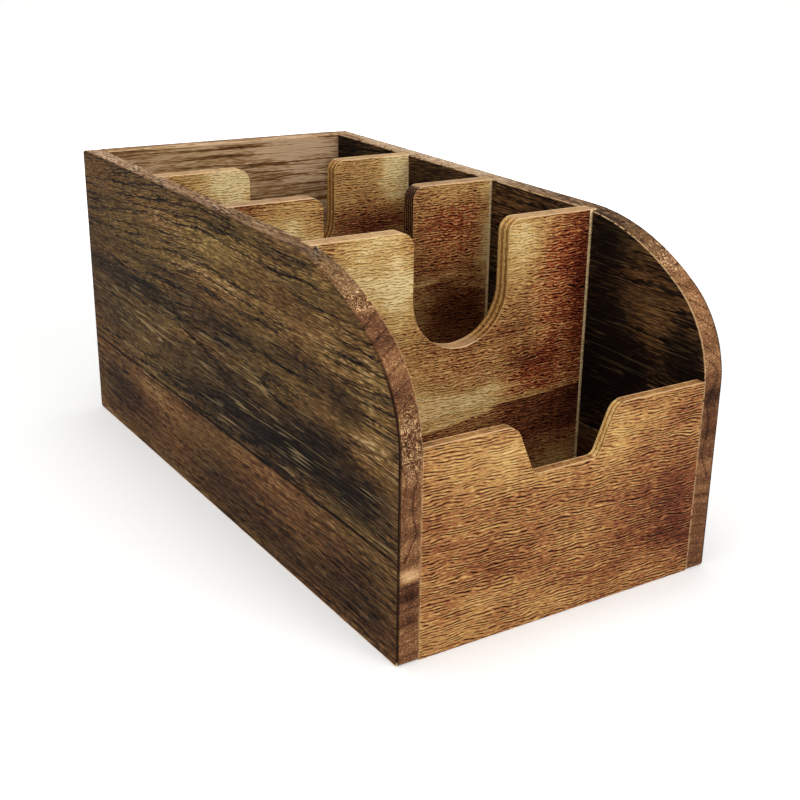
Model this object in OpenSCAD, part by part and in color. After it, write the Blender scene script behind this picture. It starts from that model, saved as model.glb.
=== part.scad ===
// Packet organizer box: an open wooden box with a curved front and three lift-out dividers.
// X runs across the box, Y from its front (minus) to its back (plus), and Z up from its base.
// The origin is the middle of the base.

/* [Box] */
// Outside width of the box
case_w = 150; // [130:1:200]
// Outside length of the box, front to back
case_l = 300; // [260:1:380]
// Height of the side panels, back panel and dividers
case_h = 136.5; // [120:0.5:180]

/* [Side panels] */
// Thickness of each side panel
side_t = 9.5; // [8:0.5:14]
// Height of the lower board of each side panel, up to the glue line
seam_h = 41; // [30:1:55]
// Drop from the top of the side to where its front edge turns upright
nose_drop = 57; // [52:1:70]
// Radius of the tight part of the curve, above the upright front edge
nose_r = 45; // [30:1:48]
// How far behind the first divider the flat top of the sides ends
crown_margin = 1; // [0:0.5:10]
// Radius of the three small corners of each side panel
corner_r = 1.5; // [0.5:0.5:4]
// Depth of the upright grooves that hold the dividers
groove_d = 3; // [2:0.5:4]

/* [Back panel] */
// Thickness of the back panel
back_t = 9.5; // [7:0.5:12]
// Height of the lower board of the back panel, up to the glue line
back_seam_h = 41; // [30:1:55]

/* [Bottom panel] */
// Thickness of the bottom panel
bottom_t = 5; // [4:0.5:6]
// Width of the step under the sides and back that the bottom panel drops into
rabbet_w = 4; // [3:0.5:5]

/* [Front panel] */
// Thickness of the front panel
front_t = 5; // [4:0.5:8]
// Height of the front panel
front_h = 82.5; // [60:0.5:100]
// Width of the finger notch at the top edge, before its corners are rounded
finger_top_w = 47; // [44:0.5:60]
// Width of the flat floor of the finger notch, before its corners are rounded
finger_floor_w = 30; // [20:0.5:34]
// Depth of the finger notch
finger_depth = 20.5; // [16:0.5:30]
// Sideways offset of the finger notch from the middle of the box
finger_shift = -2; // [-5:0.5:5]
// Radius of the two upper corners of the finger notch
finger_top_r = 7; // [4:0.5:8]
// Radius of the two lower corners of the finger notch
finger_floor_r = 4; // [2:0.5:6]

/* [Dividers] */
// Thickness of each divider
divider_t = 8; // [5:0.5:10]
// Depth of the front compartment, from the front panel to the first divider
front_gap = 69; // [60:1:90]
// Width of the U notch in each divider
notch_w = 45.5; // [36:0.5:56]
// Depth of the U notch, from the top edge to the bottom of the U
notch_depth = 50.5; // [42:0.5:70]
// Radius of the rounded corners where the U notch meets the top edge
tab_r = 6; // [3:0.5:10]
// Gap between a divider and each wall of its grooves
slide_clear = 0.25; // [0.15:0.05:0.5]

/* [Brads] */
// Diameter of the shank of a brad
brad_d = 1.2; // [1:0.1:1.6]
// Whole length of a brad
brad_l = 18; // [14:1:22]
// Diameter of a brad's head
head_d = 2.2; // [1.8:0.1:2.8]
// Height of a brad's head
head_h = 0.6; // [0.4:0.1:1]

/* [Hidden] */

// Segments on a full circle
$fn = 120;
// Segments on each rounded corner of the finger notch
corner_steps = 10;
// How far a cut runs past the wood
overrun = 1;
// Play of a brad in its hole, on the radius
brad_fit = 0.02;
// How far a brad's head is punched below the wood
head_sink = 0.2;
// Brads along the back
back_brads = 2;

// Inside faces of the walls
inner_w = case_w - 2 * side_t;
front_y = -case_l / 2;
inner_front_y = front_y + front_t;
inner_back_y = case_l / 2 - back_t;

// Three equal compartments share the length that the front one leaves
divider_count = 3;
rear_gap = (inner_back_y - inner_front_y - front_gap - divider_count * divider_t) / divider_count;
divider_pitch = divider_t + rear_gap;
first_divider_y = inner_front_y + front_gap;

// The flat top of the sides ends just behind the first divider
crown_back = front_t + front_gap + divider_t + crown_margin;
// The wide arc meets the flat top and the tight arc without a corner
crown_r = (pow(crown_back - nose_r, 2) + pow(nose_drop, 2) - pow(nose_r, 2))
    / (2 * (nose_drop - nose_r));
nose_centre = [nose_r, case_h - nose_drop];
crown_centre = [crown_back, case_h - crown_r];
// Far point on the line through both centres and the point where the arcs meet
meet_reach = (crown_r + case_h) / (crown_r - nose_r);
meet_far = crown_centre + meet_reach * (nose_centre - crown_centre);

// The dividers reach into the grooves and stand on the bottom panel
divider_w = inner_w + 2 * (groove_d - slide_clear);
divider_h = case_h - bottom_t;

// Slope of the finger notch's sides, and how far a corner's arc reaches along its edges
finger_run = (finger_top_w - finger_floor_w) / 2;
finger_slope = atan2(finger_depth, finger_run);
corner_reach_share = tan(finger_slope / 2);

// A brad goes up into each side at the middle of every compartment, clear of the grooves
side_brad_x = inner_w / 2 + rabbet_w / 2;
side_brad_y = concat(
    [inner_front_y + front_gap / 2],
    [for (i = [1 : divider_count]) first_divider_y + i * divider_pitch - rear_gap / 2]
);
back_brad_y = inner_back_y + rabbet_w / 2;
back_brad_step = inner_w / back_brads;
brad_places = concat(
    [for (side = [-1, 1], y = side_brad_y) [side * side_brad_x, y]],
    [for (i = [0 : back_brads - 1])
        [(i - (back_brads - 1) / 2) * back_brad_step, back_brad_y]]
);

// Points on an arc from angle a0 to angle a1
function arc(centre, r, a0, a1) =
    [for (i = [0 : corner_steps])
        let (a = a0 + (a1 - a0) * i / corner_steps) centre + r * [cos(a), sin(a)]];

function mirrored(points) = [for (i = [len(points) - 1 : -1 : 0]) [-points[i][0], points[i][1]]];

// What the curve takes off the upper front corner of a side panel
module nose_cut() {
    difference() {
        translate([-overrun, case_h - nose_drop])
            square([crown_back + overrun, nose_drop + overrun]);
        translate(nose_centre) circle(r = nose_r);
        intersection() {
            translate(crown_centre) circle(r = crown_r);
            polygon([crown_centre, meet_far, [crown_back, meet_far[1]]]);
        }
    }
}

// What rounding takes off a square corner at the origin, with the wood towards plus X and plus Y
module corner_cut(r) {
    difference() {
        translate([-overrun, -overrun]) square(r + overrun);
        translate([r, r]) circle(r = r);
    }
}

// Outline of a side panel, seen from the left: first axis to the back, second axis up
module side_outline() {
    difference() {
        square([case_l, case_h]);
        nose_cut();
        corner_cut(corner_r);
        translate([case_l, 0]) mirror([1, 0]) corner_cut(corner_r);
        translate([case_l, case_h]) rotate(180) corner_cut(corner_r);
    }
}

// Upright grooves in the inner face of a side panel, open at the top
module divider_grooves() {
    for (i = [0 : divider_count - 1])
        translate([-inner_w / 2 - groove_d, first_divider_y + i * divider_pitch - slide_clear, bottom_t])
            cube([groove_d + overrun, divider_t + 2 * slide_clear, divider_h + overrun]);
}

// Step that takes the edge of the bottom panel
module bottom_step() {
    translate([-inner_w / 2 - rabbet_w, inner_front_y, -overrun])
        cube([
            inner_w + 2 * rabbet_w,
            inner_back_y + rabbet_w - inner_front_y,
            bottom_t + overrun
        ]);
}

module brad_holes() {
    for (place = brad_places)
        translate([place[0], place[1], 0]) cylinder(h = brad_l + head_sink, r = brad_d / 2 + brad_fit);
}

// Left side panel between two heights
module side_board(z_low, z_high) {
    difference() {
        translate([-case_w / 2, front_y, 0]) rotate([90, 0, 90]) linear_extrude(height = side_t)
            intersection() {
                side_outline();
                translate([-overrun, z_low]) square([case_l + 2 * overrun, z_high - z_low]);
            }
        divider_grooves();
        bottom_step();
        brad_holes();
    }
}

// Back panel between two heights
module back_board(z_low, z_high) {
    difference() {
        translate([-inner_w / 2, inner_back_y, z_low]) cube([inner_w, back_t, z_high - z_low]);
        bottom_step();
        brad_holes();
    }
}

// Half of the finger notch's outline: down its left slope and out to the middle of its floor
function finger_half() =
    concat(
        [[-finger_top_w / 2 - corner_reach_share * finger_top_r, overrun]],
        arc([-finger_top_w / 2 - corner_reach_share * finger_top_r, -finger_top_r],
            finger_top_r, 90, 90 - finger_slope),
        arc([-finger_floor_w / 2 + corner_reach_share * finger_floor_r, finger_floor_r - finger_depth],
            finger_floor_r, 270 - finger_slope, 270)
    );

module finger_notch() {
    polygon(concat(finger_half(), mirrored(finger_half())));
}

// U notch of a divider, with the middle of its mouth at the origin
module u_notch() {
    translate([-notch_w / 2, notch_w / 2 - notch_depth])
        square([notch_w, notch_depth - notch_w / 2 + overrun]);
    translate([0, notch_w / 2 - notch_depth]) circle(r = notch_w / 2);
    for (side = [0, 1])
        mirror([side, 0]) translate([-notch_w / 2, 0]) rotate(180) corner_cut(tab_r);
}

// Divider number i, counted from the front
module divider(i) {
    translate([0, first_divider_y + i * divider_pitch + divider_t, 0])
        rotate([90, 0, 0]) linear_extrude(height = divider_t)
            difference() {
                translate([-divider_w / 2, bottom_t]) square([divider_w, divider_h]);
                translate([0, case_h]) u_notch();
            }
}

module left_side_upper_board() {
    color([0.30, 0.22, 0.13]) side_board(seam_h, case_h);
}

module left_side_lower_board() {
    color([0.33, 0.21, 0.12]) side_board(0, seam_h);
}

module right_side_upper_board() {
    color([0.36, 0.25, 0.15]) mirror([1, 0, 0]) side_board(seam_h, case_h);
}

module right_side_lower_board() {
    color([0.32, 0.21, 0.13]) mirror([1, 0, 0]) side_board(0, seam_h);
}

module back_upper_board() {
    color([0.38, 0.28, 0.20]) back_board(back_seam_h, case_h);
}

module back_lower_board() {
    color([0.34, 0.24, 0.16]) back_board(0, back_seam_h);
}

module front_panel() {
    color([0.58, 0.42, 0.22])
        translate([0, inner_front_y, 0]) rotate([90, 0, 0]) linear_extrude(height = front_t)
            difference() {
                translate([-inner_w / 2, 0]) square([inner_w, front_h]);
                translate([finger_shift, front_h]) finger_notch();
            }
}

module bottom_panel() {
    color([0.62, 0.50, 0.33])
        difference() {
            translate([-inner_w / 2 - rabbet_w, inner_front_y, 0])
                cube([
                    inner_w + 2 * rabbet_w,
                    inner_back_y + rabbet_w - inner_front_y,
                    bottom_t
                ]);
            brad_holes();
            for (place = brad_places)
                translate([place[0], place[1], -overrun])
                    cylinder(h = overrun + head_sink + head_h, r = head_d / 2 + brad_fit);
        }
}

module front_divider() {
    color([0.60, 0.43, 0.22]) divider(0);
}

module middle_divider() {
    color([0.52, 0.34, 0.18]) divider(1);
}

module rear_divider() {
    color([0.56, 0.39, 0.20]) divider(2);
}

module bottom_brads() {
    color([0.55, 0.55, 0.57])
        for (place = brad_places)
            translate([place[0], place[1], head_sink]) {
                cylinder(h = brad_l, r = brad_d / 2);
                cylinder(h = head_h, r = head_d / 2);
            }
}

left_side_upper_board();
left_side_lower_board();
right_side_upper_board();
right_side_lower_board();
back_upper_board();
back_lower_board();
front_panel();
bottom_panel();
front_divider();
middle_divider();
rear_divider();
bottom_brads();
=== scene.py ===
from math import atan2, cos, degrees, pi, radians, sin
import bmesh
import bpy
from mathutils import Matrix, Vector, noise


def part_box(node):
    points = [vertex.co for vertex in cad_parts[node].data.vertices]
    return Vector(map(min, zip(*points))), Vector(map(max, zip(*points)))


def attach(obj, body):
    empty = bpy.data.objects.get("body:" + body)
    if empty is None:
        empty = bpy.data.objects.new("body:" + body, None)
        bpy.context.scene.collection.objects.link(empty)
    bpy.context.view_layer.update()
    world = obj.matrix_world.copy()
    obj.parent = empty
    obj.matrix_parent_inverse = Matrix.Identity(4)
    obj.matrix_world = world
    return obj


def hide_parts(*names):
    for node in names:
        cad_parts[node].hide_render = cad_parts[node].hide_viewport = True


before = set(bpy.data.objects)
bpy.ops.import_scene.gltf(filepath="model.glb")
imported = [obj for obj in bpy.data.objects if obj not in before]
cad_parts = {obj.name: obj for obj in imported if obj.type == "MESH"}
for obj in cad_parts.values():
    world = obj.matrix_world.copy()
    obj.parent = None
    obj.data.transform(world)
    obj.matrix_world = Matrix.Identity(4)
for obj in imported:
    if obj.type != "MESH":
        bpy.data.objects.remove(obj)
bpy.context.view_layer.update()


# The view, the table and the lamps.
# A camera at the height of someone looking down on a shelf, a white table that fades into a
# white room, and three soft lamps. None of it belongs to the box.
mm = 0.001
camera_place = Vector((-284.0, -481.0, 250.3)) * mm
camera_turn = -34.17
camera_tilt = -20.73
camera_roll = 1.51
camera_data = bpy.data.cameras.new("photo_view")
camera_data.lens = 57.58
camera_data.sensor_width = 36.0
camera_data.shift_x = -0.05
camera_data.clip_start = 10 * mm
camera = bpy.data.objects.new("photo_view", camera_data)
camera.matrix_world = (
    Matrix.Translation(camera_place)
    @ Matrix.Rotation(radians(camera_turn), 4, "Z")
    @ Matrix.Rotation(radians(90 + camera_tilt), 4, "X")
    @ Matrix.Rotation(radians(camera_roll), 4, "Z")
)
bpy.context.scene.collection.objects.link(camera)
bpy.context.scene.camera = camera
bpy.context.scene.view_settings.view_transform = "Standard"


def soft_lamp(name, place, aim, size, power):
    """A square soft box at a place, turned to a point."""
    lamp_data = bpy.data.lights.new(name, "AREA")
    lamp_data.size = size
    lamp_data.energy = power
    lamp = bpy.data.objects.new(name, lamp_data)
    lamp.location = place
    lamp.rotation_mode = "QUATERNION"
    lamp.rotation_quaternion = (Vector(aim) - Vector(place)).to_track_quat("-Z", "Y")
    bpy.context.scene.collection.objects.link(lamp)


box_middle = (0, 0, 0.06)
soft_lamp("front_lamp", (0.25, -1.3, 0.85), box_middle, size=0.7, power=8.2)
soft_lamp("top_lamp", (-0.1, 0.1, 1.5), box_middle, size=0.9, power=7.5)
soft_lamp("left_lamp", (-1.3, -0.3, 0.7), box_middle, size=0.8, power=4.2)


def seen_directly(nodes, links):
    """1 for what the camera sees, also in a shiny face or through glass, and 0 for lighting."""
    rays = nodes.new("ShaderNodeLightPath")
    seen_rays = rays.outputs["Is Camera Ray"]
    for kind in ("Is Glossy Ray", "Is Transmission Ray"):
        either = nodes.new("ShaderNodeMath")
        either.operation = "MAXIMUM"
        links.new(seen_rays, either.inputs[0])
        links.new(rays.outputs[kind], either.inputs[1])
        seen_rays = either.outputs[0]
    return seen_rays


room_power = 0.52
room = bpy.data.worlds.new("white_room")
room.use_nodes = True
bpy.context.scene.world = room
room_nodes, room_links = room.node_tree.nodes, room.node_tree.links
room_light = room_nodes["Background"]
room_light.inputs["Color"].default_value = (1, 1, 1, 1)
room_light.inputs["Strength"].default_value = room_power
seen_room = room_nodes.new("ShaderNodeBackground")
seen_room.inputs["Color"].default_value = (1, 1, 0.99, 1)
room_mix = room_nodes.new("ShaderNodeMixShader")
room_links.new(seen_directly(room_nodes, room_links), room_mix.inputs["Fac"])
room_links.new(room_light.outputs[0], room_mix.inputs[1])
room_links.new(seen_room.outputs[0], room_mix.inputs[2])
room_links.new(room_mix.outputs[0], room_nodes["World Output"].inputs["Surface"])


def stand_up(name, form):
    """Turns a form into an object and stands it in the scene."""
    mesh = bpy.data.meshes.new(name)
    form.to_mesh(mesh)
    form.free()
    piece = bpy.data.objects.new(name, mesh)
    bpy.context.scene.collection.objects.link(piece)
    return piece


table_reach = 3.0
table_white = (0.85, 0.85, 0.84, 1)
table_form = bmesh.new()
bmesh.ops.create_grid(table_form, x_segments=1, y_segments=1, size=table_reach)
table = stand_up("table", table_form)
table_finish = bpy.data.materials.new("white_table")
table_finish.use_nodes = True
table_nodes, table_links = table_finish.node_tree.nodes, table_finish.node_tree.links
table_paint = table_nodes["Principled BSDF"]
table_paint.inputs["Base Color"].default_value = table_white
table_paint.inputs["Roughness"].default_value = 0.9

# In the picture the table also glows: a little by the box, and as white as the room far out.
glow_steps = {"From Min": 0.3, "From Max": 1.0, "To Min": 0.25, "To Max": 1.0}
table_glow = table_nodes.new("ShaderNodeEmission")
table_place = table_nodes.new("ShaderNodeTexCoord")
table_far = table_nodes.new("ShaderNodeVectorMath")
table_far.operation = "LENGTH"
glow_reach = table_nodes.new("ShaderNodeMapRange")
for setting, value in glow_steps.items():
    glow_reach.inputs[setting].default_value = value
table_links.new(table_place.outputs["Object"], table_far.inputs[0])
table_links.new(table_far.outputs["Value"], glow_reach.inputs["Value"])
table_links.new(glow_reach.outputs[0], table_glow.inputs["Strength"])
table_dark = table_nodes.new("ShaderNodeEmission")
table_dark.inputs["Strength"].default_value = 0
table_choice = table_nodes.new("ShaderNodeMixShader")
table_sum = table_nodes.new("ShaderNodeAddShader")
table_links.new(seen_directly(table_nodes, table_links), table_choice.inputs["Fac"])
table_links.new(table_dark.outputs[0], table_choice.inputs[1])
table_links.new(table_glow.outputs[0], table_choice.inputs[2])
table_links.new(table_paint.outputs[0], table_sum.inputs[0])
table_links.new(table_choice.outputs[0], table_sum.inputs[1])
table_links.new(table_sum.outputs[0], table_nodes["Material Output"].inputs["Surface"])
table.data.materials.append(table_finish)


# Upper boards of the two side panels.
# Solid light wood 9.5 mm thick, band-sawn to the curve, grooved inside for the dividers, then
# torched, wire-brushed and oiled. Each is glued along its lower edge to the lower board.
side_low, side_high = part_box("left_side_upper_board")
case_front, case_back = side_low.y / mm, side_high.y / mm
case_half_width = -side_low.x / mm
case_top = side_high.z / mm
seam_height = side_low.z / mm
side_thick = (side_high.x - side_low.x) / mm
# The curve is a tight nose in front, and a flatter crown up to the top.
nose_drop = 57.0
nose_radius = 45.0
crown_end = case_front + 83.0
corner_radius = 1.5
edge_ease = 0.8
seam_ease = 0.22
groove_deep = 3.0
groove_play = 0.25
groove_lip = 0.5
overrun = 1.5
point_gap = 4.0
arc_step = 4.0
edge_wear = 0.3
rub_length = 9.0
rub_depth = 40.0
crease_angle = 35


def straight(start, end, ease=edge_ease):
    """Points along a straight cut without its last one, each with the easing of its edge."""
    start, end = Vector(start), Vector(end)
    count = max(1, round((end - start).length / point_gap))
    return [(start.lerp(end, i / count), ease) for i in range(count)]


def bow(centre, radius, start, end, ease=edge_ease):
    """Points along an arc in degrees, without its last one."""
    count = max(3, round(abs(end - start) / arc_step))
    angles = [radians(start + (end - start) * i / count) for i in range(count)]
    return [(Vector(centre) + radius * Vector((cos(a), sin(a))), ease) for a in angles]


def easing(outline):
    """How far each point of a counter-clockwise outline draws in where its edge is rounded."""
    count = len(outline)
    normals = []
    for i, (point, ease) in enumerate(outline):
        onward = outline[(i + 1) % count][0] - point
        normals.append(Vector((-onward.y, onward.x)).normalized())
    pulls = []
    for i in range(count):
        before, after = normals[i - 1], normals[i]
        ease_before, ease_after = outline[i - 1][1], outline[i][1]
        turn = before.x * after.y - before.y * after.x
        if abs(turn) < 0.01:
            pulls.append((before + after) * (ease_before + ease_after) / 4)
        else:
            pulls.append(Vector((
                (ease_before * after.y - ease_after * before.y) / turn,
                (ease_after * before.x - ease_before * after.x) / turn,
            )))
    return pulls


def round_over(ease, thick, steps=3):
    """Depth of each loop of a board with both arrises rounded, and its share of the easing."""
    turns = [pi / 2 * i / steps for i in range(steps + 1)]
    near = [(ease * (1 - cos(a)), 1 - sin(a)) for a in turns]
    far = [(thick - depth, share) for depth, share in reversed(near)]
    return near + far


def sawn_piece(name, outline, loops, place):
    """A board cut to an outline: one loop of points at each depth, and a face at each end."""
    pulls = easing(outline)
    form = bmesh.new()
    rings = []
    for depth, share in loops:
        ring = []
        for (point, ease), pull in zip(outline, pulls):
            spot = Vector((point.x / rub_length, point.y / rub_length, depth / rub_depth))
            rub = 1 + edge_wear * noise.noise(spot)
            at = point + pull * share * rub
            ring.append(form.verts.new(place(at.x, at.y, depth)))
        rings.append(ring)
    form.faces.new(rings[0])
    form.faces.new(list(reversed(rings[-1])))
    for near, far in zip(rings, rings[1:]):
        for i in range(len(near)):
            j = (i + 1) % len(near)
            form.faces.new((near[j], near[i], far[i], far[j]))
    bmesh.ops.recalc_face_normals(form, faces=form.faces)
    return stand_up(name, form)


def prism(form, corners, low, high):
    """A straight upright cutter with the given plan, in millimetres."""
    foot = [form.verts.new(Vector((x, y, low)) * mm) for x, y in corners]
    head = [form.verts.new(Vector((x, y, high)) * mm) for x, y in corners]
    form.faces.new(list(reversed(foot)))
    form.faces.new(head)
    for i in range(len(corners)):
        j = (i + 1) % len(corners)
        form.faces.new((foot[i], foot[j], head[j], head[i]))


def cut_away(piece, plans):
    """Takes upright cutters off a piece. A plan is a cutter's corners, its foot and its head."""
    form = bmesh.new()
    for corners, low, high in plans:
        prism(form, corners, low, high)
    bmesh.ops.recalc_face_normals(form, faces=form.faces)
    cutter = stand_up("cutter", form)
    saw = piece.modifiers.new("saw", "BOOLEAN")
    saw.operation = "DIFFERENCE"
    saw.solver = "EXACT"
    saw.object = cutter
    sawn = bpy.data.meshes.new_from_object(
        piece.evaluated_get(bpy.context.evaluated_depsgraph_get())
    )
    piece.modifiers.clear()
    piece.data = sawn
    bpy.data.objects.remove(cutter)


def smooth_flats(piece):
    """Soft shading over rounded arrises, with flat faces kept flat."""
    for face in piece.data.polygons:
        face.use_smooth = True
    piece.data.set_sharp_from_angle(angle=radians(crease_angle))
    flats = piece.modifiers.new("flat_faces", "WEIGHTED_NORMAL")
    flats.keep_sharp = True


def seen(red, green, blue):
    """A colour as it looks, from 0 to 255, made linear for a shader."""
    shares = [c / 255 for c in (red, green, blue)]
    return [c / 12.92 if c < 0.04045 else ((c + 0.055) / 1.055) ** 2.4 for c in shares] + [1]


class Finish:
    """A wood finish built from nodes. Places in it are in millimetres, in the box's own frame."""

    def __init__(self, name):
        self.material = bpy.data.materials.new(name)
        self.material.use_nodes = True
        self.nodes = self.material.node_tree.nodes
        self.links = self.material.node_tree.links
        self.surface = self.nodes["Principled BSDF"]
        frame_node = self.nodes.new("ShaderNodeTexCoord")
        self.facing = frame_node.outputs["Normal"]
        self.place = self.vector("MULTIPLY", frame_node.outputs["Object"], (1 / mm,) * 3)

    def put(self, socket, value):
        """Gives an input a plain value, or links it to another node."""
        if isinstance(value, bpy.types.NodeSocket):
            self.links.new(value, socket)
        else:
            socket.default_value = value

    def vector(self, operation, a, b=(0, 0, 0)):
        node = self.nodes.new("ShaderNodeVectorMath")
        node.operation = operation
        self.put(node.inputs[0], a)
        self.put(node.inputs[1], b)
        return node.outputs["Value" if operation == "LENGTH" else "Vector"]

    def math(self, operation, a, b=0.0, c=0.0):
        node = self.nodes.new("ShaderNodeMath")
        node.operation = operation
        for socket, value in zip(node.inputs, (a, b, c)):
            self.put(socket, value)
        return node.outputs[0]

    def times(self, a, b):
        return self.math("MULTIPLY", a, b)

    def add(self, total, value, share, rest=0.0):
        """Adds a share of a value to a total, counted from where the value rests."""
        if rest:
            value = self.math("SUBTRACT", value, rest)
        return self.math("MULTIPLY_ADD", value, share, total)

    def parts(self, vector):
        node = self.nodes.new("ShaderNodeSeparateXYZ")
        self.put(node.inputs[0], vector)
        return list(node.outputs)

    def point(self, x, y, z):
        node = self.nodes.new("ShaderNodeCombineXYZ")
        for socket, value in zip(node.inputs, (x, y, z)):
            self.put(socket, value)
        return node.outputs[0]

    def grain(self, place, cells, detail=1.0, rough=0.5, twist=0.0, shift=0.0):
        """Random figure whose cells have the given sizes along each axis."""
        stretched = self.vector("DIVIDE", place, cells)
        moved = self.vector("ADD", stretched, (shift, shift * 0.7, shift * 1.3))
        node = self.nodes.new("ShaderNodeTexNoise")
        self.put(node.inputs["Vector"], moved)
        node.inputs["Scale"].default_value = 1.0
        node.inputs["Detail"].default_value = detail
        node.inputs["Roughness"].default_value = rough
        node.inputs["Distortion"].default_value = twist
        return node.outputs["Fac"]

    def fade(self, value, start, end, low=0.0, high=1.0):
        """Smooth step from low at start to high at end."""
        node = self.nodes.new("ShaderNodeMapRange")
        node.interpolation_type = "SMOOTHSTEP"
        for name, given in (("Value", value), ("From Min", start), ("From Max", end),
                            ("To Min", low), ("To Max", high)):
            self.put(node.inputs[name], given)
        return node.outputs["Result"]

    def hairlines(self, figure, wide, narrow):
        """Thin lines where a random figure passes its middle value."""
        off_middle = self.math("ABSOLUTE", self.math("SUBTRACT", figure, 0.5))
        return self.fade(off_middle, wide, narrow)

    def tones(self, share, steps):
        """A run of colours as they look, each with its place from 0 to 1."""
        node = self.nodes.new("ShaderNodeValToRGB")
        ramp = node.color_ramp
        while len(ramp.elements) < len(steps):
            ramp.elements.new(0.5)
        for element, (at, colour) in zip(ramp.elements, steps):
            element.position = at
            element.color = seen(*colour)
        self.put(node.inputs["Fac"], share)
        return node.outputs["Color"]

    def mix(self, share, under, over):
        """One colour over another. Inputs 6 and 7 and output 2 are the node's colours."""
        node = self.nodes.new("ShaderNodeMix")
        node.data_type = "RGBA"
        for index, value in ((0, share), (6, under), (7, over)):
            self.put(node.inputs[index], value)
        return node.outputs[2]

    def patches(self, place, spots):
        """Soft spots added up. Each is its middle, its reach along each axis, and its strength."""
        total = 0.0
        for middle, reach, strength in spots:
            offset = self.vector("SUBTRACT", place, middle)
            distance = self.vector("LENGTH", self.vector("DIVIDE", offset, reach))
            total = self.math("ADD", self.fade(distance, 1.0, 0.0, 0.0, strength), total)
        return total

    def relief(self, height):
        """Bumps and cuts in the surface, from heights in millimetres."""
        node = self.nodes.new("ShaderNodeBump")
        node.inputs["Distance"].default_value = mm
        node.inputs["Strength"].default_value = 1.0
        self.put(node.inputs["Height"], height)
        self.links.new(node.outputs[0], self.surface.inputs["Normal"])

    def close(self, colour, roughness, shine=0.5):
        self.put(self.surface.inputs["Base Color"], colour)
        self.put(self.surface.inputs["Roughness"], roughness)
        self.surface.inputs["Specular IOR Level"].default_value = shine
        return self.material


# Each run of tones goes from bare wood at 0 to black char at 1.
char_tones = [
    (0.00, (196, 164, 104)), (0.20, (146, 114, 64)), (0.40, (106, 81, 45)),
    (0.60, (78, 58, 34)), (0.80, (50, 36, 22)), (1.00, (20, 14, 9)),
]
red_tones = [
    (0.00, (214, 180, 142)), (0.20, (158, 116, 74)), (0.40, (112, 76, 43)),
    (0.60, (80, 52, 32)), (0.80, (50, 31, 21)), (1.00, (22, 13, 9)),
]
end_tones = [
    (0.00, (240, 202, 152)), (0.25, (206, 158, 108)), (0.45, (152, 106, 70)),
    (0.62, (108, 70, 46)), (0.80, (66, 40, 28)), (1.00, (28, 17, 12)),
]
top_tones = [
    (0.10, (224, 196, 160)), (0.50, (164, 126, 92)), (0.90, (74, 50, 34)),
]
raw_wood = seen(206, 172, 126)
# Rubbed pale wood at the inner arrises, partly a painted highlight.
rubbed_and_highlight_wood = seen(214, 174, 128)
# Pale fibres, partly a painted highlight on the brushed ridges.
bare_fibre_and_highlight = seen(166, 142, 100)
# Char black, also a painted shadow line along the outer arris.
burnt_and_shaded_wood = seen(34, 20, 13)

# How far apart the wood's marks lie: across the board, along its grain, and up.
vein_cells = (8.0, 85.0, 2.4)
pore_cells = (1.2, 10.0, 0.70)
nick_cells = (0.8, 4.0, 0.50)
bristle_cells = (0.5, 7.0, 0.36)
fibre_and_highlight_cells = (1.6, 60.0, 1.80)
fibre_and_highlight_break_cells = (1.6, 18.0, 1.60)
curl_cells = (1.9, 2.4, 1.7)
ring_gap = 2.2
wave_height = 6.0
ripple_height = 0.6


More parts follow.
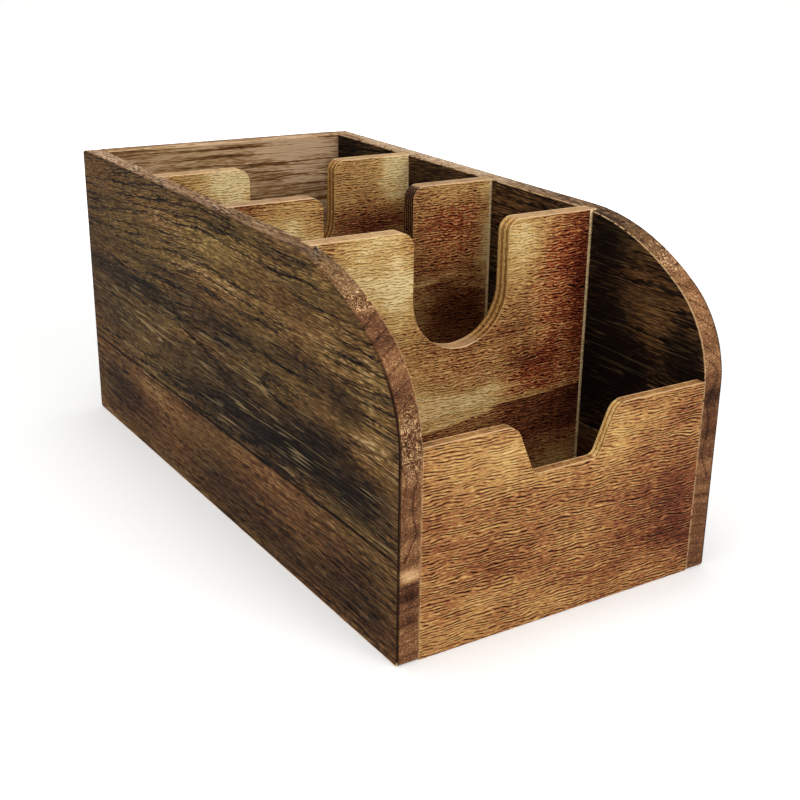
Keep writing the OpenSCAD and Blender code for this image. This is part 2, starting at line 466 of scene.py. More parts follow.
def scorched_board(name, grain_axis, outer, spots, ends, pith, warm, depth,
                   open_ends=(), lines=1.0, lean=0.0, top=(0, 1, 0.0, 0.0), brushed=1.0):
    """Solid wood, torched, wire-brushed and oiled, with its grain along one axis of the box.

    outer: -1 or 1, the way that its outer face looks.
    spots, ends: darker and paler patches, on its faces and on its end grain.
    pith: the heart of the tree, across and up, and the slant of its rings.
    warm, depth: how red the wood is, and how deep the char.
    open_ends: where the brush opened the end grain, with pale curls that are partly painted
    highlights.
    lines, lean: strength of the growth lines, and how much they climb to the rear.
    top: where the top edge's char changes, and what it adds before and behind.
    brushed: strength of the brush's marks.
    """
    f = Finish(name)
    x, y, z = f.parts(f.place)
    across, along = (x, y) if grain_axis == "Y" else (y, x)
    here = f.point(across, along, z)

    # The grain waves along the board, and climbs to the rear in its upper part.
    wave = f.grain(here, (60, 150, 50), detail=0, shift=3.1)
    ripple = f.grain(here, (30, 14, 5), shift=8.3)
    level = f.add(z, wave, wave_height)
    level = f.add(level, ripple, ripple_height)
    rear = f.math("MAXIMUM", f.math("SUBTRACT", along, 10.0), 0.0)
    level = f.add(level, f.times(f.fade(z, 55, 135), rear), lean)
    flow = f.point(across, along, level)

    # Growth rings, counted outwards from the pith.
    off_side = f.math("SUBTRACT", across, pith[0])
    off_up = f.math("SUBTRACT", level, pith[1] + (wave_height + ripple_height) / 2)
    ring = f.vector("LENGTH", f.point(off_side, off_up, 0.0))
    near_pith = f.fade(f.math("ABSOLUTE", off_up), 8.0, 26.0, 1.0, 0.0)
    ring = f.add(ring, f.times(along, near_pith), -pith[2])
    ring_tone = f.grain(f.point(ring, 0.0, 0.0), (6.0, 1, 1), detail=2, rough=0.6, shift=4.4)
    unevenness = f.grain(f.point(ring, f.math("DIVIDE", along, 70), 0.0), (7.0, 1, 1), shift=9.7)
    ring_turn = f.math("DIVIDE", f.add(ring, unevenness, 8.0), ring_gap)
    ring_turn = f.math("PINGPONG", ring_turn, 1.0)
    line_zone = f.fade(f.grain(here, (40, 50, 14), shift=6.6), 0.36, 0.56, 0.2, 1.0)
    line_zone = f.times(line_zone, f.fade(f.math("ABSOLUTE", off_up), 4.0, 14.0, 0.25, 1.0))
    line_zone = f.times(line_zone, lines)
    ring_line = f.times(f.fade(ring_turn, 0.20, 0.06), line_zone)
    ring_side = f.times(f.fade(ring_turn, 0.70, 0.15), line_zone)

    # Veins, pores, the brush's nicks and bristle lines, and pale fibres that it left standing,
    # partly painted highlights on the ridges.
    veins = f.hairlines(f.grain(flow, vein_cells, detail=0.5, shift=2.9), 0.045, 0.015)
    veins = f.times(veins, line_zone)
    pores = f.fade(f.grain(flow, pore_cells, shift=1.7), 0.48, 0.56)
    nicks = f.fade(f.grain(flow, nick_cells, detail=0, shift=3.7), 0.44, 0.56, -0.5, 0.5)
    nicks = f.times(nicks, f.add(0.45, ring_side, 0.8))
    bristles = f.fade(f.grain(flow, bristle_cells, detail=0, shift=5.2), 0.38, 0.62, -0.5, 0.5)
    fibres_and_highlights = f.hairlines(f.grain(flow, fibre_and_highlight_cells, detail=0.5, shift=6.1), 0.050, 0.020)
    fibre_and_highlight_breaks = f.fade(f.grain(flow, fibre_and_highlight_break_cells, detail=0, shift=4.3), 0.48, 0.54)
    fibre_and_highlight_zone = f.fade(f.grain(here, (30, 50, 12), shift=2.2), 0.40, 0.58, 0.10, 1.0)
    outward = f.times(across, outer)
    for where, start, end, least in ((z, 100, 66, 0.30), (z, 34, 48, 0.25),
                                     (outward, 66.5, 70.0, 0.55)):
        fibre_and_highlight_zone = f.times(fibre_and_highlight_zone, f.fade(where, start, end, least, 1.0))
    fibres_and_highlights = f.times(f.times(fibres_and_highlights, fibre_and_highlight_breaks), fibre_and_highlight_zone)

    # How deep the faces are charred, and their colour.
    cloud = f.grain(flow, (40, 80, 15), detail=2, twist=0.2, shift=5.5)
    char = f.add(depth, cloud, 0.28, rest=0.5)
    char = f.add(char, ring_tone, 0.20, rest=0.5)
    char = f.math("ADD", char, f.patches(f.place, spots))
    top_char = f.add(char, nicks, 0.42)
    top_char = f.add(top_char, pores, 0.20, rest=0.4)
    for mark, share in ((ring_side, 0.08), (ring_line, 0.42), (veins, 0.34),
                        (nicks, 0.34 * brushed), (bristles, 0.24 * brushed)):
        char = f.add(char, mark, share)
    char = f.add(char, pores, 0.10, rest=0.4)
    char = f.add(char, fibres_and_highlights, -0.20)
    hue = f.grain(here, (50, 70, 20), shift=7.7)
    hue = f.fade(hue, 0.3, 0.7, warm - 0.3, warm + 0.3)
    colour = f.mix(hue, f.tones(char, char_tones), f.tones(char, red_tones))
    # Pale fibres lighten the colour, partly as painted highlights.
    colour = f.mix(f.times(fibres_and_highlights, 0.5), colour, bare_fibre_and_highlight)

    # End grain: the rings, pale curls where the brush opened it, partly painted highlights on that
    # relief, and an outer edge darkened by char and by painted shade.
    facing_x, facing_y, facing_z = f.parts(f.facing)
    facing_side, facing_end = (facing_x, facing_y) if grain_axis == "Y" else (facing_y, facing_x)
    end_grain = f.fade(f.math("ABSOLUTE", facing_end), 0.15, 0.5)
    curl = f.grain(f.place, curl_cells, detail=0, twist=0.6, shift=3.3)
    curls = f.fade(f.math("PINGPONG", f.times(curl, 9.0), 1.0), 0.46, 0.85)
    curl_zone = f.fade(f.patches(f.place, open_ends), 0.0, 0.6, 0.35, 1.0)
    blush = f.grain(f.point(0.0, y, z), (9, 9, 6), shift=2.4)
    end_char = f.add(0.53, ring_tone, 0.35, rest=0.5)
    end_char = f.add(end_char, blush, 0.5, rest=0.5)
    end_char = f.math("ADD", end_char, f.patches(f.place, ends))
    # Pale curls lighten the end grain: opened fibres, and painted highlights on their relief.
    end_curls = f.times(f.math("SUBTRACT", curls, 0.35), curl_zone)
    end_lines = f.fade(ring_turn, 0.20, 0.02)
    for mark, share in ((end_curls, -0.48), (end_lines, 0.12), (nicks, 0.10)):
        end_char = f.add(end_char, mark, share)
    colour = f.mix(end_grain, colour, f.tones(end_char, end_tones))
    # The end grain's outer edge is darkened by char and by a painted shadow line.
    burnt_and_shaded_edge = f.math("ABSOLUTE", across)
    burnt_and_shaded_edge = f.fade(burnt_and_shaded_edge, case_half_width - 1.3, case_half_width - 0.7)
    burnt_and_shaded_edge = f.times(burnt_and_shaded_edge, f.fade(z, 122, 98, 0.2, 0.85))
    colour = f.mix(f.times(end_grain, burnt_and_shaded_edge), colour, burnt_and_shaded_wood)

    # The top edge, darker along its outer rim.
    upward = f.times(f.fade(facing_z, 0.90, 0.99), f.fade(along, -110, 50, 0.25, 0.80))
    top_char = f.math("ADD", top_char, f.fade(along, *top))
    rim = f.fade(outward, case_half_width - 2.2, case_half_width - 0.8)
    top_char = f.add(top_char, rim, 0.35)
    colour = f.mix(upward, colour, f.tones(top_char, top_tones))

    # The arrises: darkened outside by char and a painted shadow line, paler inside from rubbing
    # and a painted highlight, and raw at the foot of the box.
    in_plane = f.vector("LENGTH", f.point(facing_end, facing_z, 0.0))
    flatness = f.math("MAXIMUM", f.math("ABSOLUTE", facing_side), in_plane)
    arris = f.fade(flatness, 0.98, 0.85)
    outside = f.fade(f.times(facing_side, outer), -0.1, 0.1)
    burnt_and_shaded_arris = f.times(outside, f.fade(z, 118, 95, 0.40, 0.9))
    colour = f.mix(f.times(arris, burnt_and_shaded_arris), colour, burnt_and_shaded_wood)
    # Inner arrises paler: rubbed wood, and a painted highlight.
    rubbed_and_highlight_arris = f.fade(f.math("SUBTRACT", curl, outside), 0.25, 0.5, 0.0, 0.8)
    colour = f.mix(f.times(arris, rubbed_and_highlight_arris), colour, rubbed_and_highlight_wood)
    raw_foot = f.times(f.fade(flatness, 0.995, 0.90), f.fade(z, 2.4, 1.0))
    colour = f.mix(raw_foot, colour, raw_wood)

    open_curls = f.times(curls, f.times(curl_zone, end_grain))
    height = f.times(pores, -0.08)
    for mark, rise in ((nicks, -0.12), (bristles, -0.06), (fibres_and_highlights, 0.14), (ring_line, -0.14),
                       (veins, -0.14), (open_curls, 0.40)):
        height = f.add(height, mark, rise)
    f.relief(height)
    return f.close(colour, f.fade(pores, 0.0, 1.0, 0.62, 0.80), shine=0.04)


def side_place(side):
    """Outline along and up, depth from the outer face inwards."""
    outer = case_half_width * side
    return lambda u, v, depth: Vector((outer - side * depth, u, v)) * mm


def groove_plans(side):
    """Plans of the three grooves, with their lips eased where the cutter broke out."""
    inner = (case_half_width - side_thick) * side
    plans = []
    for name in ("front_divider", "middle_divider", "rear_divider"):
        low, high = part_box(name)
        front, back = low.y / mm - groove_play, high.y / mm + groove_play
        steps = [(groove_deep, 0), (groove_lip, 0), (0, groove_lip), (-overrun, groove_lip)]
        plan = [(inner + side * depth, front - lip) for depth, lip in steps]
        plan += [(inner + side * depth, back + lip) for depth, lip in reversed(steps)]
        plans.append((plan, low.z / mm, case_top + overrun))
    return plans


# The crown's radius lets the two arcs meet without a corner.
crown_reach = crown_end - case_front - nose_radius
crown_radius = crown_reach ** 2 + nose_drop ** 2 - nose_radius ** 2
crown_radius /= 2 * (nose_drop - nose_radius)
nose_middle = Vector((case_front + nose_radius, case_top - nose_drop))
crown_middle = Vector((crown_end, case_top - crown_radius))
meet = nose_middle - crown_middle
meet_angle = degrees(atan2(meet.y, meet.x))

upper_outline = (
    straight((case_front, seam_height), (case_back, seam_height), seam_ease)
    + straight((case_back, seam_height), (case_back, case_top - corner_radius))
    + bow((case_back - corner_radius, case_top - corner_radius), corner_radius, 0, 90)
    + straight((case_back - corner_radius, case_top), (crown_end, case_top))
    + bow(crown_middle, crown_radius, 90, meet_angle)
    + bow(nose_middle, nose_radius, meet_angle, 180)
    + straight((case_front, case_top - nose_drop), (case_front, seam_height))
)

# Where the torch and the brush left the faces and the end grain darker, or with a minus paler.
# Outer faces are 75 mm from the middle, and inner faces 65.5 mm. The darkening of the inner faces
# is partly painted shade inside the box.
left_spots = [
    ((-75, 10, 121), (12, 100, 14), -0.21), ((-75, -95, 131), (10, 24, 8), -0.14),
    ((-75, -10, 107), (12, 150, 8), -0.20), ((-75, 60, 97), (12, 80, 7), 0.16),
    ((-75, 95, 83), (12, 110, 9), 0.28), ((-75, 140, 88), (12, 34, 40), 0.10),
    ((-75, -5, 89), (12, 76, 8), 0.28), ((-75, -86, 92), (10, 44, 8), 0.24),
    ((-75, 34, 80), (12, 44, 8), 0.12), ((-75, 30, 74), (12, 70, 5), -0.16),
    ((-75, -92, 68), (10, 40, 10), 0.38), ((-75, -78, 56), (10, 30, 9), 0.26),
    ((-75, -132, 78), (10, 24, 11), -0.30), ((-75, -112, 98), (10, 30, 16), -0.09),
    ((-75, -131, 102), (10, 16, 14), -0.26), ((-75, -134, 88), (8, 14, 9), -0.18),
    ((-75, -112, 92), (8, 22, 8), 0.18), ((-75, -102, 71), (8, 22, 8), 0.14),
    ((-75, 60, 84), (10, 50, 8), 0.08), ((-75, -125, 57), (10, 42, 15), 0.38),
    ((-75, -75, 54), (10, 90, 16), 0.46), ((-75, -118, 86), (10, 30, 8), 0.26),
    ((-75, -30, 66), (10, 90, 16), 0.16), ((-75, 20, 66), (10, 90, 16), 0.12),
    ((-75, 90, 60), (10, 90, 24), 0.05), ((-75, -110, 108), (10, 60, 16), -0.10),
    ((-75, -10, 51), (10, 90, 12), 0.36), ((-75, 0, 41), (10, 400, 1.6), 0.50),
    # The second spot below darkens the whole inner face: char and painted shade.
    ((-75, 120, 60), (10, 50, 18), 0.16), ((-65.5, 0, 60), (6, 200, 50), 0.35),
]
left_ends = [
    ((-70, -106, 130), (9, 16, 12), -0.22), ((-70, -125, 120), (9, 9, 6), 0.12),
    ((-70, -138, 110), (9, 9, 7), -0.10), ((-70, -144, 101), (9, 9, 7), 0.12),
    ((-70, -150, 66), (9, 9, 8), 0.14), ((-70, -150, 77), (9, 9, 9), -0.12),
    ((-70, -150, 54), (9, 9, 12), -0.02),
]
# The spots on the inner face, 65.5 mm out, darken it as char and as painted shade inside the box.
right_spots = [
    ((65.5, -80, 80), (8, 110, 70), 0.42), ((65.5, -85, 72), (8, 50, 44), 0.34),
    ((65.5, -112, 108), (8, 26, 20), -0.18), ((65.5, -117, 93), (8, 20, 14), -0.28),
    ((65.5, -86, 126), (8, 22, 20), 0.60), ((65.5, -138, 88), (8, 16, 18), 0.50),
    ((65.5, -84, 100), (8, 20, 20), 0.14), ((65.5, 130, 130), (8, 26, 30), 0.40),
    ((75, 0, 41), (6, 400, 1.6), 0.50), ((65.5, 80, 100), (8, 140, 60), 0.46),
]
right_ends = [
    ((70, -130, 118), (9, 40, 26), -0.15), ((70, -150, 74), (9, 9, 13), 0.26),
    ((70, -150, 62), (9, 9, 10), 0.18), ((70, -150, 48), (9, 9, 10), 0.02),
]
open_ends = [
    ((-70, -108, 128), (9, 24, 16), 1.0), ((-70, -146, 84), (9, 14, 20), 1.0),
    ((70, -110, 128), (9, 34, 22), 0.8),
]
for side, name, spots, ends, warm, top in (
        (-1, "left_side_upper_board", left_spots, left_ends, 0.25, (60, 130, 0.10, -0.08)),
        (1, "right_side_upper_board", right_spots, right_ends, 0.60, (-60, 10, 0.14, -0.27))):
    board = sawn_piece(name + "_wood", upper_outline, round_over(edge_ease, side_thick),
                       side_place(side))
    cut_away(board, groove_plans(side))
    smooth_flats(board)
    board.data.materials.append(scorched_board(
        name + "_finish", "Y", side, spots, ends, pith=(side * 45.0, 62.0, 0.08),
        warm=warm, depth=0.49, open_ends=open_ends, lean=0.12, top=top))
    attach(board, "box")
    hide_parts(name)


# Lower boards of the two side panels.
# The same stock with a warmer, straighter grain, edge-glued under the upper boards. A step along
# the inside of the lower edge takes the bottom panel.
lower_outline = (
    straight((case_front + corner_radius, 0), (case_back - corner_radius, 0))
    + bow((case_back - corner_radius, corner_radius), corner_radius, 270, 360)
    + straight((case_back, corner_radius), (case_back, seam_height))
    + straight((case_back, seam_height), (case_front, seam_height), seam_ease)
    + straight((case_front, seam_height), (case_front, corner_radius))
    + bow((case_front + corner_radius, corner_radius), corner_radius, 180, 270)
)
bottom_low, bottom_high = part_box("bottom_panel")


def bottom_step_plan():
    """Plan of the step under the walls that the bottom panel drops into."""
    left, front = bottom_low.x / mm, bottom_low.y / mm
    right, back = bottom_high.x / mm, bottom_high.y / mm
    corners = [(left, front), (right, front), (right, back), (left, back)]
    return corners, -overrun, bottom_high.z / mm


lower_ends = [
    ((-70, -150, 35), (9, 9, 4), -0.50), ((-70, -150, 17), (9, 9, 4), 0.20),
    ((-70, -150, 29), (9, 9, 8), 0.30), ((-70, -150, 23), (9, 9, 8), 0.10),
    ((-70, -150, 10), (9, 9, 9), -0.05), ((70, -150, 20), (9, 9, 40), 0.09),
]
lower_spots = [
    ((-75, -20, 33), (10, 150, 8), -0.04), ((-75, 80, 32), (10, 60, 6), -0.12),
    ((-75, 115, 22), (10, 60, 24), 0.28), ((-75, -3, 26), (10, 50, 12), 0.12),
    ((-75, -50, 10), (10, 130, 14), 0.24), ((-75, -5, 17), (10, 60, 10), 0.12),
    ((-75, -122, 20), (10, 50, 20), 0.30), ((-75, 0, 41), (10, 400, 1.2), 0.40),
    # The second spot below darkens the right inner face: char and painted shade.
    ((75, 0, 41), (6, 400, 1.2), 0.40), ((65.5, 0, 20), (6, 200, 40), 0.35),
]
for side, name in ((-1, "left_side_lower_board"), (1, "right_side_lower_board")):
    board = sawn_piece(name + "_wood", lower_outline, round_over(edge_ease, side_thick),
                       side_place(side))
    cut_away(board, groove_plans(side))
    cut_away(board, [bottom_step_plan()])
    smooth_flats(board)
    board.data.materials.append(scorched_board(
        name + "_finish", "Y", side, lower_spots, lower_ends, pith=(side * 60.0, -50.0, 0.02),
        warm=0.75, depth=0.46, lines=0.5, brushed=0.9))
    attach(board, "box")
    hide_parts(name)


# The two boards of the back panel.
# Glued one above the other and butted between the sides, from the same wood as the sides.
back_low, back_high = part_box("back_upper_board")
inner_half = back_high.x / mm
back_thick = (back_high.y - back_low.y) / mm


def back_place(u, v, depth):
    """Outline across and up, depth from the outer face inwards."""
    return Vector((u, case_back - depth, v)) * mm


def back_outline(foot, head, foot_ease, head_ease):
    """A board between the sides."""
    return (
        straight((-inner_half, foot), (inner_half, foot), foot_ease)
        + straight((inner_half, foot), (inner_half, head), 0)
        + straight((inner_half, head), (-inner_half, head), head_ease)
        + straight((-inner_half, head), (-inner_half, foot), 0)
    )


back_spots = [
    # The first two spots pale the inner face's upper right: a painted sheen.
    ((40, 140.5, 131), (34, 12, 10), -0.46), ((44, 140.5, 117), (22, 12, 7), -0.40),
    ((-14, 140.5, 135), (30, 12, 6), -0.22), ((-20, 140.5, 112), (70, 8, 8), 0.06),
    ((0, 152, 70), (300, 8, 300), 0.56), ((0, 150, 41), (300, 6, 1.6), 0.40),
]
for name, foot, head, foot_ease, head_ease in (
        ("back_upper_board", seam_height, case_top, seam_ease, edge_ease),
        ("back_lower_board", 0, seam_height, edge_ease, seam_ease)):
    board = sawn_piece(name + "_wood", back_outline(foot, head, foot_ease, head_ease),
                       round_over(edge_ease, back_thick), back_place)
    if foot == 0:
        cut_away(board, [bottom_step_plan()])
    smooth_flats(board)
    board.data.materials.append(scorched_board(
        name + "_finish", "X", 1, back_spots, [], pith=(120.0, 60.0, 0.1),
        warm=1.0, depth=0.09, lines=0.7, top=(30, 140, 0.08, -0.16), brushed=0.45))
    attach(board, "box")
    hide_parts(name)


# The front panel.
# Plywood 5 mm thick, glued between the sides flush with their front edges. A finger notch is cut
# in its top edge, and its face is torched and brushed like the rest.
front_low, front_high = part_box("front_panel")
front_thick = (front_high.y - front_low.y) / mm
front_top = front_high.z / mm
notch_shift = -2.0
notch_mouth = 47.0
notch_floor = 30.0
notch_deep = 20.5
notch_top_round = 7.0
notch_floor_round = 4.0
ply_ease = 0.5
ply_count = 5
glue_line = 0.12
glue_deep = 0.25
brush_gap = 1.2
patch_drift = 14
spot_depth = 20

ply_tones = [
    (0.00, (252, 224, 162)), (0.10, (230, 188, 118)), (0.18, (212, 168, 101)),
    (0.36, (180, 126, 74)), (0.52, (142, 84, 50)), (0.70, (98, 46, 26)),
    (0.86, (54, 26, 14)), (1.00, (22, 10, 5)),
]
flushed_tones = [
    (0.00, (244, 192, 120)), (0.36, (184, 104, 58)), (0.52, (144, 66, 38)),
    (0.70, (100, 36, 24)), (0.86, (54, 20, 12)), (1.00, (22, 8, 4)),
]
layer_tones = [
    (0.00, (240, 210, 146)), (0.25, (204, 158, 88)), (0.50, (140, 92, 44)),
    (0.75, (74, 42, 19)), (1.00, (24, 12, 5)),
]
# Colour of a painted contact shadow under the front panel's right part.
painted_contact_shadow_wood = seen(40, 24, 14)


def ply_loops(thick):
    """Loops of a plywood edge: rounded arrises, and a fine groove at each glue line."""
    loops = round_over(ply_ease, thick, steps=2)
    half = len(loops) // 2
    grooves = []
    for i in range(1, ply_count):
        at = thick * i / ply_count
        grooves += [(at - glue_line, 0), (at, glue_deep), (at + glue_line, 0)]
    between = [(at, share) for at, share in grooves if ply_ease < at < thick - ply_ease]
    return loops[:half] + between + loops[half:]


def scorched_ply(name, face_at, thick, spots, burn, run, edge, bare, soot,
                 tilt=0.0, steps=(), flushed=()):
    """Plywood with torched, brushed faces across the box and its layers showing at the edges.

    face_at: where its front face stands.
    spots, steps: darker and paler patches, and bands burnt below a sharp line.
    burn, soot: how deep the char is on the faces and at the edges.
    run, tilt: length and slope of the brush marks.
    edge: the tones of its top edge and of the rim.
    bare: the strip down each side that the torch didn't reach; on the dividers its near-white
    colour is also a painted glint.
    flushed: where the torch left the wood red.
    """
    f = Finish(name)
    x, y, z = f.parts(f.place)

    # Brush marks: dark cuts with a pale lip beside each, broken off at uneven lengths.
    wander = f.grain(f.place, (12, 20, 6), shift=2.7)
    level = f.add(f.add(z, x, -tilt), wander, 2.0)
    flow = f.point(x, y, level)
    swell = f.grain(f.place, (run * 2.4, 20, run), shift=1.3)
    comb = f.math("DIVIDE", f.add(level, swell, 2.6), brush_gap / 2)
    comb = f.math("PINGPONG", comb, 1.0)
    breaks = f.fade(f.grain(flow, (run, 3.0, 0.8), shift=6.3), 0.40, 0.56)
    cuts = f.times(f.fade(comb, 0.44, 0.12), breaks)
    lips = f.times(f.fade(comb, 0.50, 0.90), breaks)
    dots = f.grain(flow, (run * 0.55, 3.0, 0.42), detail=0, shift=2.8)
    dots = f.fade(dots, 0.40, 0.60, -0.5, 0.5)

    # Where the torch lingered. The patches wander, so that none shows its outline.
    cloud = f.grain(f.place, (30, 30, 13), detail=2, twist=0.4, shift=7.1)
    streak = f.grain(flow, (60, 20, 2.6), detail=1.5, shift=4.9)
    upright = f.grain(f.place, (2.8, 20, 60), detail=1.5, shift=8.9)
    drift = f.point(wander, 0.0, cloud)
    drift = f.vector("MULTIPLY", drift, (patch_drift, 0, patch_drift))
    drift = f.vector("ADD", f.place, drift)
    drift = f.vector("SUBTRACT", drift, (patch_drift / 2, 0, patch_drift / 2))
    flush = f.fade(f.patches(drift, flushed), 0.0, 0.7)
    char = f.add(burn, cloud, 0.44, rest=0.5)
    char = f.add(char, streak, 0.25, rest=0.5)
    char = f.add(char, upright, f.add(0.10, flush, 0.26), rest=0.5)
    char = f.math("ADD", char, f.patches(drift, spots))
    for (corner_x, corner_z), (left_rise, right_rise), softness, strength in steps:
        aside = f.math("SUBTRACT", x, corner_x)
        climb = f.math("MINIMUM", f.times(aside, left_rise), f.times(aside, right_rise))
        below = f.math("SUBTRACT", f.math("ADD", climb, corner_z), z)
        below = f.add(below, streak, 4.0, rest=0.5)
        char = f.math("ADD", char, f.fade(below, 0.0, softness, 0.0, strength))
    marks_share = f.fade(char, 0.12, 0.50, 0.42, 1.0)
    marks = f.times(f.math("SUBTRACT", cuts, 0.2), 0.50)
    marks = f.add(marks, lips, -0.22, rest=0.2)
    marks = f.add(marks, dots, 0.15)
    marks = f.add(marks, f.times(marks, flush), 0.4)
    char = f.add(char, marks, marks_share)
    colour = f.mix(flush, f.tones(char, ply_tones), f.tones(char, flushed_tones))

    # The layers at the edges: grain along and across in turn, with dark glue between.
    facing_x, facing_y, facing_z = f.parts(f.facing)
    depth = f.math("SUBTRACT", y, face_at)
    layer = f.math("DIVIDE", depth, thick / ply_count)
    crossing = f.fade(f.math("PINGPONG", layer, 1.0), 0.35, 0.65)
    near_glue = f.math("SUBTRACT", f.math("FRACT", layer), 0.5)
    glue = f.fade(f.math("ABSOLUTE", near_glue), 0.36, 0.45)
    fleck = f.grain(f.place, (1.6, 0.4, 1.6), shift=3.9)
    edge_char = f.add(0.20 + soot, f.fade(z, 112, 94), 0.16)
    edge_char = f.add(edge_char, crossing, 0.34)
    edge_char = f.add(edge_char, fleck, 0.9, rest=0.5)
    edge_char = f.add(edge_char, glue, 0.45)
    at_edge = f.fade(f.math("ABSOLUTE", facing_y), 0.35, 0.15)
    colour = f.mix(at_edge, colour, f.tones(edge_char, layer_tones))

    # The top edge, with a paler rim at each face: raw wood, and a painted highlight on the eased
    # arris.
    upward = f.fade(facing_z, 0.85, 0.98)
    colour = f.mix(f.times(upward, 0.80), colour, f.tones(fleck, edge["top"]))
    off_middle = f.math("ABSOLUTE", f.math("SUBTRACT", depth, thick / 2))
    rim = f.fade(off_middle, thick / 2 - 1.3, thick / 2 - 0.7, 0.0, 0.6)
    colour = f.mix(f.times(upward, rim), colour, edge["rim"])

    # Raw wood at the arrises, partly a painted highlight, and a painted contact shadow along the
    # foot of the front panel's right part.
    in_plane = f.vector("LENGTH", f.point(facing_x, facing_z, 0.0))
    flatness = f.math("MAXIMUM", f.math("ABSOLUTE", facing_y), in_plane)
    arris = f.fade(flatness, 0.98, 0.86, 0.0, 0.85)
    arris = f.times(arris, f.fade(off_middle, thick / 2 - 0.9, thick / 2 - 0.6))
    # The pale arris colour is raw wood and a painted highlight on the eased edges.
    arris_colour = f.mix(f.fade(facing_z, 0.35, 0.55), raw_wood, edge["rim"])
    painted_contact_shadow = f.times(f.fade(z, 0.8, 0.4), f.fade(x, -45, -15))
    arris_colour = f.mix(painted_contact_shadow, arris_colour, painted_contact_shadow_wood)
    colour = f.mix(arris, colour, arris_colour)

    # The bare strip down each side, on the dividers also a painted glint.
    strip_start = inner_half - bare["width"]
    strip = f.fade(f.math("ABSOLUTE", x), strip_start, strip_start + 0.3)
    strip = f.times(strip, f.fade(x, -10, 10, bare["left"], bare["right"]))
    strip = f.times(strip, f.fade(facing_z, 0.8, 0.5))
    rubs = f.fade(f.grain(f.place, (2, 2, 4), shift=5.6), 0.36, 0.56, bare["least"], 1.0)
    colour = f.mix(f.times(strip, rubs), colour, bare["colour"])

    face = f.fade(f.math("ABSOLUTE", facing_y), 0.6, 0.9)
    height = f.times(f.times(cuts, face), -0.30)
    for mark, rise in ((lips, 0.12), (dots, -0.12)):
        height = f.add(height, f.times(mark, face), rise)
    height = f.add(height, fleck, 0.10)
    f.relief(height)
    return f.close(colour, f.fade(cuts, 0.0, 1.0, 0.55, 0.75), shine=0.06)


def finger_notch():
    """The finger notch, from right to left."""
    slope = atan2(notch_deep, (notch_mouth - notch_floor) / 2)
    reach = sin(slope / 2) / cos(slope / 2)
    turn = degrees(slope)
    mouth = notch_mouth / 2 + reach * notch_top_round
    floor = notch_floor / 2 - reach * notch_floor_round
    top, low = front_top - notch_top_round, front_top - notch_deep + notch_floor_round
    right_top = bow((notch_shift + mouth, top), notch_top_round, 90, 90 + turn, ply_ease)
    right_low = bow((notch_shift + floor, low), notch_floor_round, turn - 90, -90, ply_ease)
    left_low = bow((notch_shift - floor, low), notch_floor_round, 270, 270 - turn, ply_ease)
    left_top = bow((notch_shift - mouth, top), notch_top_round, 90 - turn, 90, ply_ease)
    end = [(Vector((notch_shift - mouth, front_top)), ply_ease)]
    return right_top + right_low + left_low + left_top + end


def face_spots(face_at, spots):
    """Soft spots on a face across the box, from their middles and reaches on it."""
    return [((x, face_at, z), (wide, spot_depth, high), strength)
            for (x, z), (wide, high), strength in spots]


def ply_place(face_at):
    """Outline across and up, depth from the front face backwards."""
    return lambda u, v, depth: Vector((u, face_at + depth, v)) * mm


notch_points = finger_notch()
front_outline = (
    straight((-inner_half, 0), (inner_half, 0), ply_ease)
    + straight((inner_half, 0), (inner_half, front_top), ply_ease)
    + straight((inner_half, front_top), notch_points[0][0], ply_ease)
    + notch_points
    + straight(notch_points[-1][0], (-inner_half, front_top), ply_ease)[1:]
    + straight((-inner_half, front_top), (-inner_half, 0), ply_ease)
)
front_spots = face_spots(-150, [
    ((-46, 76), (28, 22), -0.22), ((-27, 70), (14, 16), -0.24),
    ((-12, 60), (34, 14), -0.07), ((22, 70), (18, 20), -0.26),
    ((58, 30), (28, 38), 0.30), ((46, 78), (20, 16), -0.14),
    ((55, 73), (12, 16), 0.16), ((26, 24), (30, 22), 0.12),
    ((-30, 34), (30, 18), 0.08), ((-52, 8), (30, 14), -0.12),
    ((-8, 6), (30, 8), -0.12), ((20, 46), (28, 12), 0.05),
    ((-56, 50), (10, 30), 0.06), ((-26, 18), (30, 10), -0.08),
])
front_edge = {
    "top": [(0.20, (150, 100, 56)), (0.80, (74, 38, 18))], "rim": seen(240, 198, 148),
}
front_bare = {
    "width": 0.45, "left": 0.7, "right": 0.45, "least": 0.1, "colour": seen(224, 176, 128),
}
front = sawn_piece("front_panel_ply", front_outline, ply_loops(front_thick),
                   ply_place(case_front))
smooth_flats(front)
front.data.materials.append(scorched_ply(
    "front_panel_finish", case_front, front_thick, front_spots, burn=0.49, run=4.2,
    edge=front_edge, bare=front_bare, soot=-0.26, tilt=-0.03))
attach(front, "box")
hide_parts("front_panel")


# The bottom panel.
# Plain plywood, let into the step round the walls and nailed from below. Only its top face was
# torched, and the underside is the bare veneer.
veneer_tones = [
    (0.30, (214, 188, 146)), (0.55, (200, 168, 122)), (0.75, (176, 140, 96)),
]
torched_tones = [
    (0.30, (132, 94, 56)), (0.50, (100, 66, 38)), (0.80, (52, 33, 20)),
]
veneer_pore = seen(120, 84, 54)
bottom_ease = 0.3


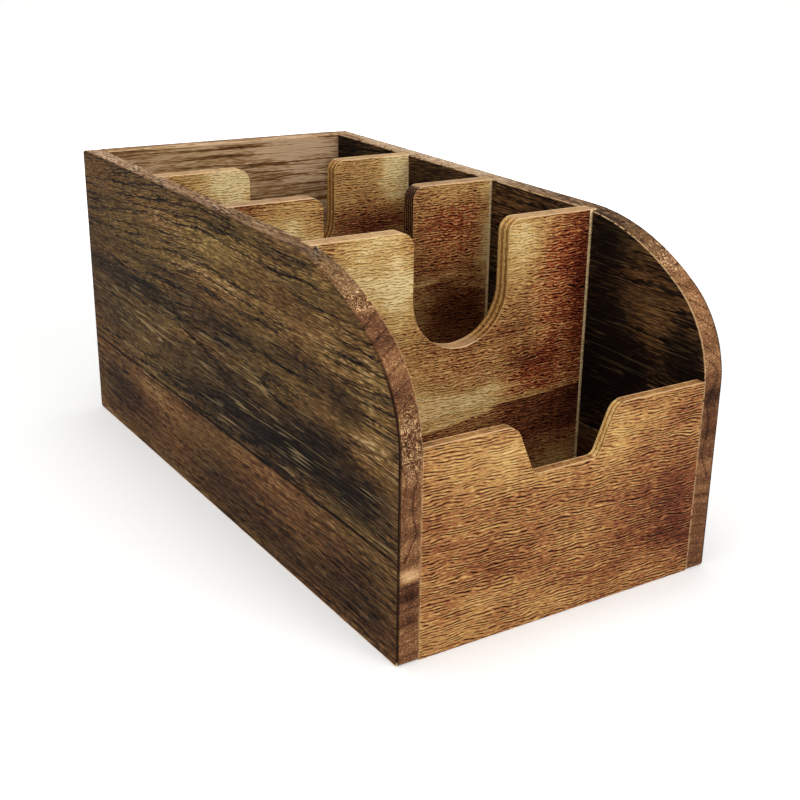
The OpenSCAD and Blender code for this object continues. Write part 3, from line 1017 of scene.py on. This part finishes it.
def plain_ply(name):
    """Plywood lying flat: its top face torched, and the rest as it came."""
    f = Finish(name)
    x, y, z = f.parts(f.place)
    sway = f.grain(f.place, (30, 80, 30), shift=1.0)
    flow = f.point(f.add(x, sway, 8.0), y, z)
    figure = f.grain(flow, (4.0, 120, 4.0), detail=2, rough=0.6, twist=0.3, shift=5.0)
    pores = f.fade(f.grain(flow, (0.6, 6.0, 0.6), shift=2.0), 0.56, 0.68)
    colour = f.mix(f.times(pores, 0.4), f.tones(figure, veneer_tones), veneer_pore)
    torch_reach = f.grain(f.place, (20, 30, 20), detail=2, shift=3.0)
    char = f.fade(f.math("ADD", z, torch_reach), 4.9, 5.4)
    torched = f.tones(f.math("ADD", figure, f.times(pores, 0.2)), torched_tones)
    f.relief(f.times(pores, -0.10))
    return f.close(f.mix(char, colour, torched), f.fade(pores, 0.0, 1.0, 0.55, 0.7))


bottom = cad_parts["bottom_panel"]
bottom.data.materials.clear()
bottom.data.materials.append(plain_ply("bottom_panel_finish"))
bottom_edges = bottom.modifiers.new("eased_edges", "BEVEL")
bottom_edges.width = bottom_ease * mm
bottom_edges.segments = 2
bottom_edges.limit_method = "ANGLE"
bottom_edges.angle_limit = radians(40)


# The brads.
# Ten thin steel nails, driven up from below through the bottom panel, with their heads punched
# just under the wood.
steel_tones = [(0.30, (176, 176, 180)), (0.70, (118, 114, 112))]


def nail_steel(name):
    """Drawn steel with a dull, slightly stained skin."""
    f = Finish(name)
    stain = f.grain(f.place, (0.5, 0.5, 0.5), detail=2, rough=0.6, shift=1.0)
    f.surface.inputs["Metallic"].default_value = 1.0
    f.relief(f.times(stain, 0.02))
    return f.close(f.tones(stain, steel_tones), f.fade(stain, 0.3, 0.7, 0.28, 0.5))


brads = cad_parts["bottom_brads"]
brads.data.materials.clear()
brads.data.materials.append(nail_steel("brad_finish"))


# The three dividers.
# Plywood 8 mm thick with a U notch, dropped into the grooves of the sides. Their faces are
# torched and brushed, and they lift straight out.
u_width = 45.5
u_deep = 50.5
u_round = 6.0


def divider_outline(half_width, foot):
    """A divider's outline, with the U notch and its rounded tabs."""
    u_half = u_width / 2
    u_floor = case_top - u_deep + u_half
    return (
        straight((-half_width, foot), (half_width, foot), ply_ease)
        + straight((half_width, foot), (half_width, case_top), ply_ease)
        + straight((half_width, case_top), (u_half + u_round, case_top), ply_ease)
        + bow((u_half + u_round, case_top - u_round), u_round, 90, 180, ply_ease)
        + straight((u_half, case_top - u_round), (u_half, u_floor), ply_ease)
        + bow((0, u_floor), u_half, 0, -180, ply_ease)
        + straight((-u_half, u_floor), (-u_half, case_top - u_round), ply_ease)
        + bow((-u_half - u_round, case_top - u_round), u_round, 0, 90, ply_ease)
        + straight((-u_half - u_round, case_top), (-half_width, case_top), ply_ease)
        + straight((-half_width, case_top), (-half_width, foot), ply_ease)
    )


divider_edge = {
    "top": [(0.20, (200, 162, 120)), (0.80, (148, 112, 76))], "rim": seen(236, 204, 158),
}
# The dividers' bare strips: unburnt wood, near white as a painted glint.
divider_bare_and_glint = {
    "width": 1.05, "left": 0.5, "right": 1.0, "least": 0.85, "colour": seen(255, 230, 176),
}
flushed_spots = face_spots(-76, [
    ((54, 100), (26, 60), 1.0), ((0, 78), (60, 14), 0.35),
    ((-24, 62), (48, 9), 0.45), ((44, 66), (40, 10), 0.8),
]) + face_spots(-4, [
    ((46, 112), (30, 34), 0.7),
]) + face_spots(68, [
    ((40, 106), (40, 14), 0.25),
])

# For each divider: its burn, its soot, its patches, and its steps. A step is the corner of its
# upper line, the line's rise to the left and to the right, its softness and its strength.
divider_looks = {
    "front_divider": (0.36, 0.0, face_spots(-76, [
        ((-44, 120), (34, 34), -0.26), ((-28, 112), (12, 34), -0.20),
        ((29, 126), (18, 27), -0.28), ((38, 71), (22, 14), 0.32),
        ((29, 86), (17, 16), 0.20), ((70, 104), (42, 70), 0.46),
        ((56, 124), (14, 16), 0.07), ((46, 100), (14, 20), -0.08),
        ((0, 88), (40, 9), 0.26), ((-15, 73), (30, 8), -0.12),
        ((-24, 62), (48, 9), -0.48), ((0, 50), (34, 14), -0.20),
        ((16, 61), (22, 9), -0.22), ((52, 22), (40, 30), -0.46),
    ]), [((21, 57.6), (0.165, 0.05), 1.2, 0.37)]),
    "middle_divider": (0.49, 0.75, face_spots(-4, [
        ((-40, 120), (30, 32), -0.44), ((66, 110), (10, 60), -0.48),
        ((29, 92), (13, 4), -0.34), ((24, 76), (19, 30), -0.34),
        ((42, 135), (26, 11), -0.28), ((46, 117), (16, 11), 0.13),
        ((40, 94), (34, 5), -0.14), ((48, 102), (20, 12), -0.08),
    ]), [((40, 90), (0.02, -0.2), 1.2, 0.18)]),
    "rear_divider": (0.34, 0.12, face_spots(68, [
        ((-32, 126), (24, 24), -0.42), ((60, 132), (18, 22), -0.44),
        ((38, 117), (20, 8), 0.10), ((60, 116), (16, 10), -0.18),
        ((40, 128), (30, 10), -0.06), ((44, 104), (50, 13), 0.34),
    ]), []),
}
for name, (burn, soot, spots, steps) in divider_looks.items():
    low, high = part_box(name)
    face_at, thick = low.y / mm, (high.y - low.y) / mm
    divider = sawn_piece(name + "_ply", divider_outline(high.x / mm, low.z / mm),
                         ply_loops(thick), ply_place(face_at))
    smooth_flats(divider)
    divider.data.materials.append(scorched_ply(
        name + "_finish", face_at, thick, spots, burn=burn, run=2.4, edge=divider_edge,
        bare=divider_bare_and_glint, soot=soot, steps=steps, flushed=flushed_spots))
    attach(divider, name)
    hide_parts(name)
